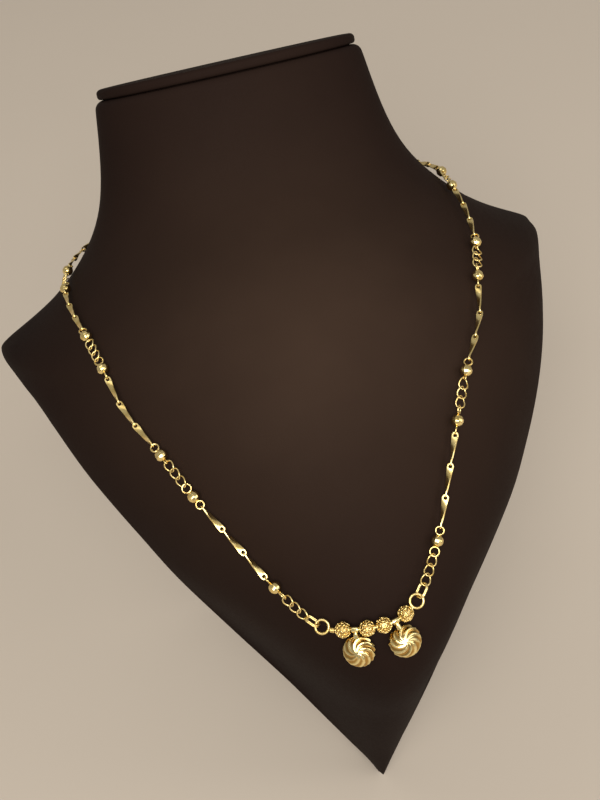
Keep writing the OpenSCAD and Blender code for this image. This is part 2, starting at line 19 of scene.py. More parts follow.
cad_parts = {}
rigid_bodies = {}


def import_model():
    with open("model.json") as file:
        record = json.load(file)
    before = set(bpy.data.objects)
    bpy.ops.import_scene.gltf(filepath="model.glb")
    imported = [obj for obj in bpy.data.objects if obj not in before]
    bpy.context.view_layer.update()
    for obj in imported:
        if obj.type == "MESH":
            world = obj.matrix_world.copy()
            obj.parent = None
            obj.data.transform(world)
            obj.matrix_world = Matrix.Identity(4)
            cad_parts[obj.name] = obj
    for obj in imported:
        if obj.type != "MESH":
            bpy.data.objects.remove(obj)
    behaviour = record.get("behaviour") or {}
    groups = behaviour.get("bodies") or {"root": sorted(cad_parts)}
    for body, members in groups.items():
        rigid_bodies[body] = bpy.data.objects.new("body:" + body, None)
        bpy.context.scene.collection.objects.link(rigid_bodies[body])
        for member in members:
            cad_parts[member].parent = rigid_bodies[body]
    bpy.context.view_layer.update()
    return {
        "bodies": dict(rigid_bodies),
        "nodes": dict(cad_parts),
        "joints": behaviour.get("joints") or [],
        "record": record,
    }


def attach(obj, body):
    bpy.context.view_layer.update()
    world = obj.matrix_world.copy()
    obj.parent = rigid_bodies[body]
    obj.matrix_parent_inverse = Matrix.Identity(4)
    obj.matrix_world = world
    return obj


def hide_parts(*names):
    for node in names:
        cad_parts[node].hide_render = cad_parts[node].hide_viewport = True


log = logging.getLogger("mangalsutra")

MM = 0.001
# transform.rotate turns clockwise for a positive value where Blender has no window
TURN_SIGN = -1
# how near a vertex lies to the place that is looked for, in metres
NEAR = 2e-6
# handle length that draws a quarter of a circle, as a share of its radius
QUARTER_HANDLE = 0.5523
# links of a chain run, and bars of a bar run
PER_RUN = 3
ORIGIN = (0.0, 0.0, 0.0)
# attribute of the cups' vertices that holds how deep in a flute they lie, from 0 to 1; it only
# paints shade into the flutes' hollows and light onto their ridges
FLUTE_SHADE = "hollow_depth"

Row = tuple[float, ...]
Test = Callable[[Vector], bool]
Parts = Iterable[tuple[bpy.types.Object, Matrix]]


class Side(Enum):
    """Side of the strand seen from the front."""

    LEFT = -1
    RIGHT = 1


# Where the strand lies


def blend_rows(rows: Sequence[Row], by: Sequence[float], i: int, t: float) -> Row:
    """Smooth curve through the rows of a table.

    Args:
        rows: The table's rows, all of one length.
        by: The running value of each row.
        i: Row at which the stretch starts.
        t: Share of the way to row i + 1.

    Returns:
        The values at that place.
    """

    def slope(k: int) -> Row:
        """Slope of the rows at row k."""
        a, b = max(0, k - 1), min(len(rows) - 1, k + 1)
        return tuple((q - p) / (by[b] - by[a]) for p, q in zip(rows[a], rows[b]))

    h = by[i + 1] - by[i]
    t2, t3 = t * t, t * t * t
    weights = (2 * t3 - 3 * t2 + 1, h * (t3 - 2 * t2 + t), 3 * t2 - 2 * t3, h * (t3 - t2))
    parts = (rows[i], slope(i), rows[i + 1], slope(i + 1))
    return tuple(sum(w * p[k] for w, p in zip(weights, parts)) for k in range(len(rows[i])))


@dataclass(frozen=True)
class BustForm:
    """The bust's skin, upright, in millimetres, as a smooth stack of sections."""

    back_full: float = 0.6
    sections: tuple[Row, ...] = (
        # height, front, half width, depth of the widest line, back, fullness of the front
        (4, 8, 1.2, 11, 16, 2),
        (18, -7, 5, 0, 7, 2),
        (34, -24, 10.5, -12, -4, 2.4),
        (60, -54, 20, -29, -20, 3),
        (85, -83, 30, -42, -33, 3.2),
        (106, -108, 40, -50, -41, 3),
        (125, -122, 49, -57, -48, 2.6),
        (143, -120.5, 58, -61, -52, 2),
        (158, -118, 65, -61, -50, 2),
        (170, -115.5, 71.5, -57, -44, 1.9),
        (181, -112.5, 78, -49, -32, 1.8),
        (192, -108, 84, -38, -12, 1.6),
        (202, -103, 91.5, -16, 16, 1.4),
        (210, -98, 102, 24, 38, 1.3),
        (218, -91, 94, 14, 42, 1.15),
        (226, -82, 81.5, 6, 42, 1),
        (234, -71, 71.5, 0, 40, 0.95),
        (242, -59, 63.5, -2, 37, 0.95),
        (250, -48, 57, -1, 35, 1),
        (258, -42, 53, 0, 34, 1),
        (268, -38, 50.2, 0, 33, 1),
        (280, -36, 48.2, 0, 33, 1),
        (290, -35, 47, 0, 33, 1),
    )

    def section(self, z: float) -> Row:
        """Section values at a height."""
        heights = [row[0] for row in self.sections]
        i = min(max(bisect_right(heights, z) - 1, 0), len(heights) - 2)
        t = (z - heights[i]) / (heights[i + 1] - heights[i])
        return blend_rows(self.sections, heights, i, t)

    def skin(self, turn: float, z: float) -> Vector:
        """Point of the skin at a turn round the neck (0 in front, 90 right) and a height."""
        height, front, half, widest, back, full = self.section(z)
        c, s = math.cos(math.radians(turn)), math.sin(math.radians(turn))
        if c >= 0:
            return Vector((half * s, widest - (widest - front) * c**full, height))
        return Vector((half * s, widest + (back - widest) * (-c) ** self.back_full, height))

    def normal(self, turn: float, z: float, step: float = 0.5) -> Vector:
        """Outward direction of the skin."""
        du = self.skin(turn + step, z) - self.skin(turn - step, z)
        dv = self.skin(turn, z + step) - self.skin(turn, z - step)
        return du.cross(dv).normalized()


@dataclass
class Strand:
    """The strand's smooth way round the bust, and the frames of the pieces on it."""

    form: BustForm = BustForm()
    lean: float = 30.0
    middle_y: float = 64.45
    foot_cut: float = 1.5
    middle_row: int = 16
    middle_ahead: float = -0.05
    samples: int = 10
    route: tuple[Row, ...] = (
        # turn, height, clearance
        (-180, 257, 2.6),
        (-157, 254.5, 2.6),
        (-134, 248, 2.6),
        (-110, 240.5, 2.3),
        (-89.5, 237.6, 2.3),
        (-74.9, 233.7, 2.3),
        (-62.5, 229.6, 2.4),
        (-50, 224, 2.6),
        (-39.4, 216.2, 2.6),
        (-37.6, 204.6, 2.4),
        (-36.4, 192.5, 2.3),
        (-34.3, 180, 2.3),
        (-30.5, 165.7, 2.3),
        (-25.8, 151.7, 2.4),
        (-17.6, 140.3, 2.9),
        (-8.9, 138.8, 2.9),
        (-3.7, 138.4, 2.9),
        (1.8, 138.8, 2.9),
        (8.2, 142.1, 2.9),
        (16.7, 155.9, 2.4),
        (20.9, 170, 2.3),
        (24.3, 184.5, 2.3),
        (27.4, 196.5, 2.3),
        (30.3, 207.7, 2.3),
        (34.6, 217, 2.4),
        (45.2, 224.7, 2.4),
        (57.2, 232.2, 2.3),
        (69.1, 238.7, 2.3),
        (88, 242.6, 2.3),
        (110, 244.5, 2.3),
        (134, 250, 2.6),
        (157, 255.5, 2.6),
        (180, 257, 2.6),
    )

    def __post_init__(self) -> None:
        """Works out the sampled strand from the route's stops."""
        normals = [self.form.normal(turn, z) for turn, z, _ in self.route]
        stops = [
            self.form.skin(turn, z) + clear * n
            for (turn, z, clear), n in zip(self.route, normals)
        ]
        at = self.running(stops)
        self.points = self.sampled([tuple(p) for p in stops], at)
        self.away = self.sampled([tuple(n) for n in normals], at)
        reach = self.running(self.points)
        self.middle = reach[self.middle_row * self.samples] + self.middle_ahead
        self.length = reach[-1]
        self.places = [s - self.middle for s in reach]
        first = self.form.sections[0]
        lean = math.radians(self.lean)
        drop = first[4] * math.sin(lean) - first[0] * math.cos(lean) - self.foot_cut
        shift = Matrix.Translation((0, -self.middle_y, drop))
        self.leaned = shift @ Matrix.Rotation(-lean, 4, "X")

    @staticmethod
    def running(points: Sequence[Vector]) -> list[float]:
        """Running distances along a row of points."""
        out = [0.0]
        for a, b in zip(points, points[1:]):
            out.append(out[-1] + (b - a).length)
        return out

    def sampled(self, rows: Sequence[Row], at: Sequence[float]) -> list[Vector]:
        """Rows of a table blended into many points."""
        out = [
            Vector(blend_rows(rows, at, i, k / self.samples))
            for i in range(len(rows) - 1)
            for k in range(self.samples)
        ]
        return out + [Vector(rows[-1])]

    def lookup(self, rows: Sequence[Vector], s: float) -> Vector:
        """Value of sampled rows at a running distance from the middle."""
        if s > self.length - self.middle:
            s -= self.length
        if s < -self.middle:
            s += self.length
        i = min(max(bisect_right(self.places, s) - 1, 0), len(rows) - 2)
        t = (s - self.places[i]) / (self.places[i + 1] - self.places[i])
        return rows[i].lerp(rows[i + 1], min(max(t, 0.0), 1.0))

    def between(self, a: float, b: float, out_at: float, share: float = 0.5) -> Matrix:
        """Frame between two points of the strand, in metres and in the object's frame.

        Args:
            a: Running distance of the first point.
            b: Running distance of the second point, towards which Z runs.
            out_at: Running distance at which Y points away from the bust.
            share: Share of the way from a to b at which the frame's origin lies.

        Returns:
            The frame.
        """
        start, end = self.lookup(self.points, a), self.lookup(self.points, b)
        along = (end - start).normalized()
        out = self.lookup(self.away, out_at).normalized()
        away = (out - along * out.dot(along)).normalized()
        across = away.cross(along)
        turn = Matrix((across, away, along)).transposed().to_4x4()
        frame = self.leaned @ Matrix.Translation(start.lerp(end, share)) @ turn
        frame.translation *= MM
        return frame

    def piece(self, side: Side, d: float, back: float, ahead: float) -> Matrix:
        """Frame of a piece on one side of the strand, its Z outwards from the middle.

        Args:
            side: The side.
            d: Distance of its origin from the middle.
            back: How far it reaches back from there.
            ahead: How far it reaches ahead.

        Returns:
            The frame.
        """
        w = side.value
        return self.between(w * (d - back), w * (d + ahead), w * d, back / (back + ahead))


# Modelling by hand


def deselect() -> None:
    """Leaves nothing selected."""
    if bpy.context.object and bpy.context.object.mode != "OBJECT":
        bpy.ops.object.mode_set(mode="OBJECT")
    bpy.ops.object.select_all(action="DESELECT")


def pick(obj: bpy.types.Object) -> None:
    """Makes one object the only selected one."""
    deselect()
    obj.hide_set(False)
    obj.select_set(True)
    bpy.context.view_layer.objects.active = obj


def add(operator: Callable, name: str, **settings: object) -> bpy.types.Object:
    """Adds an object by one of Blender's operators.

    Args:
        operator: The operator that adds it.
        name: Name of the new object.
        settings: The operator's settings.

    Returns:
        The new object, the only selected one.
    """
    deselect()
    operator(**settings)
    obj = bpy.context.object
    obj.name = name
    return obj


def select_where(
    obj: bpy.types.Object, test: Test = lambda p: True, faces: bool = False
) -> int:
    """Selects vertices by their place, or faces by their middle, and enters edit mode.

    Args:
        obj: The mesh object.
        test: Says of a place whether it is wanted.
        faces: Whether faces are selected.

    Returns:
        How many were selected.
    """
    pick(obj)
    bpy.ops.object.mode_set(mode="EDIT")
    bpy.ops.mesh.select_mode(type="FACE" if faces else "VERT")
    bpy.ops.mesh.select_all(action="DESELECT")
    leave_edit()
    count = 0
    for part in obj.data.polygons if faces else obj.data.vertices:
        part.select = test(part.center if faces else part.co)
        count += part.select
    bpy.ops.object.mode_set(mode="EDIT")
    return count


def leave_edit() -> None:
    """Back to object mode."""
    bpy.ops.object.mode_set(mode="OBJECT")


def resize_where(obj: bpy.types.Object, test: Test, scale: Row, centre: Row = ORIGIN) -> None:
    """Resizes the vertices that a test wants about a centre, and leaves edit mode."""
    if select_where(obj, test):
        bpy.ops.transform.resize(value=scale, center_override=centre)
    leave_edit()


def turn_selected(angle: float, axis: str = "Z", centre: Row = ORIGIN) -> None:
    """Turns what is selected by an angle in degrees, anticlockwise seen from the axis's tip."""
    bpy.ops.transform.rotate(
        value=TURN_SIGN * math.radians(angle),
        orient_axis=axis,
        orient_type="GLOBAL",
        center_override=centre,
    )


def place(obj: bpy.types.Object) -> None:
    """Puts an object's place, turn and scale into its mesh."""
    pick(obj)
    bpy.ops.object.transform_apply(location=True, rotation=True, scale=True)


def finish_with(obj: bpy.types.Object, kind: str, **settings: object) -> None:
    """Adds a modifier and applies it.

    Args:
        obj: The mesh object.
        kind: The modifier's type.
        settings: Its settings.
    """
    pick(obj)
    modifier = obj.modifiers.new(kind.title(), kind)
    for name, value in settings.items():
        setattr(modifier, name, value)
    bpy.ops.object.modifier_apply(modifier=modifier.name)


def soften(obj: bpy.types.Object, width: float, segments: int, above: float) -> None:
    """Bevels the edges that bend by more than an angle.

    Args:
        obj: The mesh object.
        width: Width of the bevel, in millimetres.
        segments: Steps of the bevel.
        above: The angle, in degrees.
    """
    finish_with(
        obj,
        "BEVEL",
        width=width * MM,
        segments=segments,
        limit_method="ANGLE",
        angle_limit=math.radians(above),
    )


def wire_ring(mid: float, wire: float, around: int, across: int) -> bpy.types.Object:
    """Makes a ring of round wire that faces Z.

    Args:
        mid: Radius to the middle of the wire, in millimetres.
        wire: Thickness of the wire, in millimetres.
        around: Segments round the ring.
        across: Segments round the wire.

    Returns:
        The ring.
    """
    return add(
        bpy.ops.mesh.primitive_torus_add,
        "wire_ring",
        major_radius=mid * MM,
        minor_radius=wire / 2 * MM,
        major_segments=around,
        minor_segments=across,
    )


def drill(obj: bpy.types.Object, **settings: object) -> None:
    """Cuts a round hole.

    Args:
        obj: The mesh object.
        settings: Settings of the cylinder that cuts it.
    """
    cutter = add(bpy.ops.mesh.primitive_cylinder_add, "cutter", **settings)
    place(cutter)
    finish_with(obj, "BOOLEAN", object=cutter, operation="DIFFERENCE", solver="EXACT")
    drop_masters(cutter)


def merge_doubles(obj: bpy.types.Object, distance: float = 1e-6) -> None:
    """Merges vertices that lie on each other, and turns the faces outwards."""
    select_where(obj)
    bpy.ops.mesh.remove_doubles(threshold=distance)
    bpy.ops.mesh.select_all(action="SELECT")
    bpy.ops.mesh.normals_make_consistent(inside=False)
    leave_edit()


def smooth(obj: bpy.types.Object, angle: float | None = None) -> None:
    """Shades an object smooth, or smooth up to an angle in degrees."""
    pick(obj)
    if angle is None:
        bpy.ops.object.shade_smooth()
    else:
        bpy.ops.object.shade_smooth_by_angle(angle=math.radians(angle))


def copies(name: str, parts: Parts) -> bpy.types.Object:
    """Makes one object of copies of modelled masters, each with its own mesh.

    Args:
        name: Name of the new object.
        parts: Masters with the frames they are put at.

    Returns:
        The joined object, at the origin.
    """
    made = []
    for master, frame in parts:
        mesh = master.data.copy()
        mesh.transform(frame)
        obj = bpy.data.objects.new(name, mesh)
        bpy.context.scene.collection.objects.link(obj)
        made.append(obj)
    deselect()
    for obj in made:
        obj.select_set(True)
    bpy.context.view_layer.objects.active = made[0]
    if len(made) > 1:
        bpy.ops.object.join()
    made[0].name = name
    made[0].data.name = name
    return made[0]


def cad_copy(source: bpy.types.Object, name: str) -> bpy.types.Object:
    """A merged copy of a CAD node's mesh, with quads where its triangles pair up."""
    obj = bpy.data.objects.new(name, source.data.copy())
    bpy.context.scene.collection.objects.link(obj)
    obj.data.materials.clear()
    merge_doubles(obj, 1e-5)
    select_where(obj)
    bpy.ops.mesh.tris_convert_to_quads(
        face_threshold=math.radians(25), shape_threshold=math.radians(60)
    )
    leave_edit()
    return obj


def drop_masters(*masters: bpy.types.Object) -> None:
    """Removes masters after their copies are made."""
    for obj in masters:
        bpy.data.objects.remove(obj)


def dress(
    obj: bpy.types.Object,
    material: bpy.types.Material,
    body: str,
    nodes: Sequence[str],
) -> None:
    """Gives a piece its finish where it has none and its body, and hides and logs the nodes it
    stands in for.
    """
    if not obj.data.materials:
        obj.data.materials.append(material)
    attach(obj, body)
    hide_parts(*nodes)
    log.info("%s: %d faces, for %s", obj.name, len(obj.data.polygons), ", ".join(nodes))


# Shader maths


def operator_node(operation: str, reflected: bool = False) -> Callable:
    """Makes an operator on sockets that adds one Math node.

    Args:
        operation: The Math node's operation.
        reflected: Whether the socket stands on the operator's right.

    Returns:
        The operator.
    """

    def act(one: "Sock", other: "Sock | float") -> "Sock":
        """Adds the node."""
        a, b = (other, one) if reflected else (one, other)
        return one.shader.node("ShaderNodeMath", {"operation": operation}, {0: a, 1: b})

    return act


@dataclass
class Sock:
    """An output socket of a material that Python's operators act on."""

    shader: "Shader"
    out: bpy.types.NodeSocket

    __add__ = operator_node("ADD")
    __radd__ = operator_node("ADD", reflected=True)
    __sub__ = operator_node("SUBTRACT")
    __rsub__ = operator_node("SUBTRACT", reflected=True)
    __mul__ = operator_node("MULTIPLY")
    __rmul__ = operator_node("MULTIPLY", reflected=True)


Wanted = Sock | float | tuple
Stops = Sequence[tuple[float, Row]]


class Shader:
    """Builds one node material round a Principled shader."""

    def __init__(self, name: str) -> None:
        """Makes the material, with its output and its shader."""
        self.material = bpy.data.materials.new(name)
        self.material.use_nodes = True
        self.tree = self.material.node_tree
        self.tree.nodes.clear()
        output = self.tree.nodes.new("ShaderNodeOutputMaterial")
        self.principled = self.tree.nodes.new("ShaderNodeBsdfPrincipled")
        self.tree.links.new(self.principled.outputs[0], output.inputs[0])

    def node(
        self,
        kind: str,
        settings: dict[str, object] | None = None,
        values: dict[int | str, Wanted] | None = None,
        out: int | str = 0,
        stops: Stops = (),
    ) -> Sock:
        """Adds a node.

        Args:
            kind: The node's type.
            settings: Its settings, set first.
            values: Values or links of its sockets.
            out: The output that is wanted.
            stops: Stops of a ramp, as place and opaque colour.

        Returns:
            The wanted output.
        """
        made = self.tree.nodes.new(kind)
        for name, value in (settings or {}).items():
            setattr(made, name, value)
        if stops:
            ramp = made.color_ramp
            while len(ramp.elements) < len(stops):
                ramp.elements.new(0.5)
            for element, (at, colour) in zip(ramp.elements, stops):
                element.position = at
                element.color = (*colour, 1.0)
        for name, value in (values or {}).items():
            self.feed(made.inputs[name], value)
        return Sock(self, made.outputs[out])

    def feed(self, socket: bpy.types.NodeSocket, value: Wanted) -> None:
        """Links or sets one socket."""
        if isinstance(value, Sock):
            self.tree.links.new(value.out, socket)
        else:
            socket.default_value = value

    def surface(self, **values: Wanted) -> None:
        """Sets or links sockets of the shader; an underscore stands for a space."""
        for name, value in values.items():
            self.feed(self.principled.inputs[name.replace("_", " ")], value)

    def place(self) -> Sock:
        """The object's own coordinates."""
        return self.node("ShaderNodeTexCoord", out="Object")

    def noise(self, at: Sock, scale: float, detail: float = 2.0, rough: float = 0.5) -> Sock:
        """Noise from 0 to 1."""
        values = {"Vector": at, "Scale": scale, "Detail": detail, "Roughness": rough}
        return self.node("ShaderNodeTexNoise", values=values)

    def ramp(self, value: Sock, stops: Stops) -> Sock:
        """Colours by value."""
        return self.node("ShaderNodeValToRGB", values={0: value}, stops=stops)

    def bump(self, height: Sock, depth: float, strength: float) -> Sock:
        """Normal raised by a height from 0 to 1 over a depth in metres."""
        values = {"Height": height, "Distance": depth, "Strength": strength}
        return self.node("ShaderNodeBump", values=values)


@dataclass(frozen=True)
class GoldFinish:
    """Yellow gold, polished, with faint hand-worked unevenness and darker warm patches; given a
    vertex attribute, also painted shade in hollows and painted light on ridges.
    """

    name: str
    bright: Row = (1.0, 0.81, 0.37)
    deep: Row = (0.82, 0.6, 0.2)
    roughness: float = 0.24
    spread: float = 0.16
    # painted shade and light: an attribute that darkens the colour in the flutes' hollows and
    # lightens it on the ridges
    shade_attribute: str = ""
    flute_shade_share: float = 0.62
    ridge_light_lift: float = 0.2
    patch_scale: float = 420.0
    deep_at: float = 0.3
    bright_at: float = 0.62
    dimple: float = 0.00003
    dimple_scale: float = 2200.0
    dimple_strength: float = 0.5

    def material(self) -> bpy.types.Material:
        """Builds the finish."""
        s = Shader(self.name)
        at = s.place()
        patches = s.noise(at, self.patch_scale)
        fine = s.noise(at, self.dimple_scale)
        if self.shade_attribute:
            depth = s.node("ShaderNodeAttribute", {"attribute_name": self.shade_attribute}, out="Fac")
            # painted shade in the flutes' hollows, painted light on their ridges
            patches = patches + self.ridge_light_lift - depth * self.flute_shade_share
        stops = ((self.deep_at, self.deep), (self.bright_at, self.bright))
        s.surface(
            Base_Color=s.ramp(patches, stops),
            Metallic=1.0,
            Roughness=self.roughness + fine * self.spread,
            Normal=s.bump(fine, self.dimple, self.dimple_strength),
        )
        return s.material


@dataclass(frozen=True)
class CoverFinish:
    """Dark brown leatherette: fine closed grain, matt, with painted light at the chest's middle
    and painted shade darker away from it.
    """

    name: str = "dark_leatherette"
    painted_light_falloff: tuple[tuple[float, Row], ...] = (
        # distance from the middle of the chest in metres, colour; lighter at the middle as
        # painted light, darker away from it as painted shade
        (0.01, (0.0435, 0.0265, 0.0183)),
        (0.05, (0.0265, 0.0158, 0.0112)),
        (0.085, (0.0187, 0.0109, 0.0082)),
        (0.13, (0.0115, 0.0064, 0.0054)),
        (0.2, (0.0125, 0.0071, 0.0058)),
    )
    # middle of the painted light on the chest, in the object's coordinates
    middle: Row = (0.0, -0.03, 0.245)
    tone_scale: float = 22.0
    tone_sway: float = 0.16
    grain_scale: float = 1500.0
    grain_depth: float = 0.00007
    grain_strength: float = 0.35
    grain_share: float = 0.7
    pore_scale: float = 3800.0
    warp_scale: float = 260.0
    roughness: float = 0.6
    grain_rough: float = 0.16
    warp_rough: float = 0.06
    shine: float = 0.02

    def material(self) -> bpy.types.Material:
        """Builds the finish."""
        s = Shader(self.name)
        at = s.place()
        warp = s.noise(at, self.warp_scale)
        cells = {"Vector": at, "Scale": self.grain_scale}
        grain = s.node("ShaderNodeTexVoronoi", values=cells, out="Distance")
        pores = s.noise(at, self.pore_scale)
        tone = s.noise(at, self.tone_scale, detail=3.0, rough=0.6)
        measure = {"operation": "DISTANCE"}
        away = s.node("ShaderNodeVectorMath", measure, {0: at, 1: self.middle}, out="Value")
        reach = self.painted_light_falloff[-1][0]
        stops = [(distance / reach, colour) for distance, colour in self.painted_light_falloff]
        height = grain * self.grain_share + pores * (1 - self.grain_share)
        s.surface(
            # painted light and shade: the colour is lighter at the chest's middle and darker
            # away from it, where the light falls off
            Base_Color=s.ramp(away * (1 / reach) + (tone - 0.5) * self.tone_sway, stops),
            Metallic=0.0,
            Roughness=self.roughness + grain * self.grain_rough - warp * self.warp_rough,
            Specular_IOR_Level=self.shine,
            Normal=s.bump(height, self.grain_depth, self.grain_strength),
        )
        return s.material


@dataclass(frozen=True)
class TableFinish:
    """Plain pale warm table top."""

    name: str = "pale_table"
    base: Row = (0.545, 0.48, 0.402)
    shade: float = 0.985
    cloud_scale: float = 9.0
    roughness: float = 0.85
    shine: float = 0.2

    def material(self) -> bpy.types.Material:
        """Builds the finish."""
        s = Shader(self.name)
        tone = s.noise(s.place(), self.cloud_scale)
        darker = tuple(self.shade * c for c in self.base)
        colour = s.ramp(tone, ((0.2, darker), (0.8, self.base)))
        s.surface(Base_Color=colour, Roughness=self.roughness, Specular_IOR_Level=self.shine)
        return s.material


# The stand


@dataclass
class NeckBust:
    """The covered bust, its neck plate and its leg. Lengths are millimetres."""

    strand: Strand
    nodes: dict[str, bpy.types.Object]
    finish: CoverFinish = CoverFinish()
    # height up to which the side edges stay sharp, and how near a vertex of one lies
    seam_fade_z: float = 236.0
    seam_near_x: float = 0.05
    seam_near_y: float = 0.6
    edge_crease: float = 0.9
    row_near: float = 0.05
    tip_rows: tuple[Row, ...] = (
        # height, share by which the shoulders are drawn out there
        (210, 1.006),
        (214, 1.03),
        (218, 1.022),
        (222, 1.008),
    )
    neck_raise: float = 1.9
    neck_round: float = 3.4
    neck_steps: int = 4
    neck_tilt: float = -1.2
    tilt_below: float = 0.5
    plate_lift: float = 0.5
    plate_edge: float = 0.8
    leg_edge: float = 0.4

    def upright(self, p: Vector) -> Vector:
        """A point of the object in the bust's own upright frame, in millimetres."""
        return self.strand.leaned.inverted() @ (p / MM)

    def on_side_seam(self, p: Vector) -> bool:
        """Whether a point lies on the sharp side edge of the shoulders and chest."""
        q = self.upright(p)
        if q.z > self.seam_fade_z:
            return False
        half, widest = self.strand.form.section(q.z)[2:4]
        return abs(abs(q.x) - half) < self.seam_near_x and abs(q.y - widest) < self.seam_near_y

    def build_bust(self) -> bpy.types.Object:
        """The bust's smooth skin over the plain solid's sections."""
        obj = cad_copy(self.nodes["bust"], "bust_cover")
        mesh = obj.data
        crease = mesh.attributes.new("crease_edge", "FLOAT", "EDGE")
        seam = [self.on_side_seam(v.co) for v in mesh.vertices]
        floor = self.row_near * MM
        for edge in mesh.edges:
            a, b = edge.vertices
            if seam[a] and seam[b]:
                crease.data[edge.index].value = self.edge_crease
            if max(mesh.vertices[a].co.z, mesh.vertices[b].co.z) < floor:
                crease.data[edge.index].value = 1.0
        self.draw_tips(obj)
        self.round_neck(obj)
        finish_with(
            obj, "SUBSURF", levels=2, render_levels=2, boundary_smooth="PRESERVE_CORNERS"
        )
        smooth(obj, angle=50)
        return obj

    def draw_tips(self, obj: bpy.types.Object) -> None:
        """Draws the shoulders' tips out to the sharp corners of the covered board."""
        for height, share in self.tip_rows:
            resize_where(
                obj,
                lambda p: abs(self.upright(p).z - height) < self.row_near,
                (share, 1.0, 1.0),
            )

    def round_neck(self, obj: bpy.types.Object) -> None:
        """Raises the neck's top to the plate, with a round upper edge."""
        top, front, half, _, back, _ = self.strand.form.sections[-1]
        start = top + self.neck_raise - self.neck_round
        select_where(obj, lambda p: abs(self.upright(p).z - top) < self.row_near, faces=True)
        self.shift_up(start - top)
        rise, inset = 0.0, 0.0
        for step in range(1, self.neck_steps + 1):
            angle = math.radians(90 * step / self.neck_steps)
            higher = self.neck_round * math.sin(angle)
            narrower = self.neck_round * (1 - math.cos(angle))
            bpy.ops.mesh.extrude_region_move()
            self.shift_up(higher - rise)
            centre = self.strand.leaned @ Vector((0, (front + back) / 2, start + higher)) * MM
            scale = (half - narrower) / (half - inset)
            bpy.ops.transform.resize(value=(scale, scale, scale), center_override=centre)
            rise, inset = higher, narrower
        leave_edit()
        self.tilt_top(obj, start - self.tilt_below)

    def tilt_top(self, obj: bpy.types.Object, above: float) -> None:
        """Raises the front of all that lies above a height, as the neck is cut askew."""
        top = self.strand.form.sections[-1][0]
        select_where(obj, lambda p: self.upright(p).z > above)
        turn_selected(self.neck_tilt, "X", self.strand.leaned @ Vector((0, 0, top)) * MM)
        leave_edit()

    def shift_up(self, distance: float) -> None:
        """Moves what is selected along the neck."""
        way = self.strand.leaned.to_3x3() @ Vector((0, 0, distance))
        bpy.ops.transform.translate(value=way * MM)

    def build_plate(self) -> bpy.types.Object:
        """The neck plate with rounded edges."""
        obj = cad_copy(self.nodes["neck_cap"], "neck_plate")
        soften(obj, self.plate_edge, segments=4, above=35)
        self.tilt_top(obj, 0.0)
        select_where(obj)
        self.shift_up(self.plate_lift)
        leave_edit()
        smooth(obj, angle=40)
        return obj

    def build_leg(self) -> bpy.types.Object:
        """The leg board and foot with softened edges."""
        obj = cad_copy(self.nodes["easel_leg"], "leg_board")
        soften(obj, self.leg_edge, segments=2, above=30)
        smooth(obj, angle=40)
        return obj

    def build(self) -> None:
        """Builds and dresses the three pieces."""
        material = self.finish.material()
        for node, make in (
            ("bust", self.build_bust),
            ("neck_cap", self.build_plate),
            ("easel_leg", self.build_leg),
        ):
            dress(make(), material, "stand", [node])


# The strand's gold


@dataclass(frozen=True)
class WireLoop:
    """A closed loop of wire, in millimetres."""

    length: float
    wire: float

    @property
    def mid(self) -> float:
        """Half its length, up to the middle of its wire."""
        return (self.length - self.wire) / 2

    def to(self, other: "WireLoop", play: float) -> float:
        """Distance between its middle and that of a loop that hooks into it."""
        return self.mid + other.mid - (self.wire + other.wire) / 2 - play


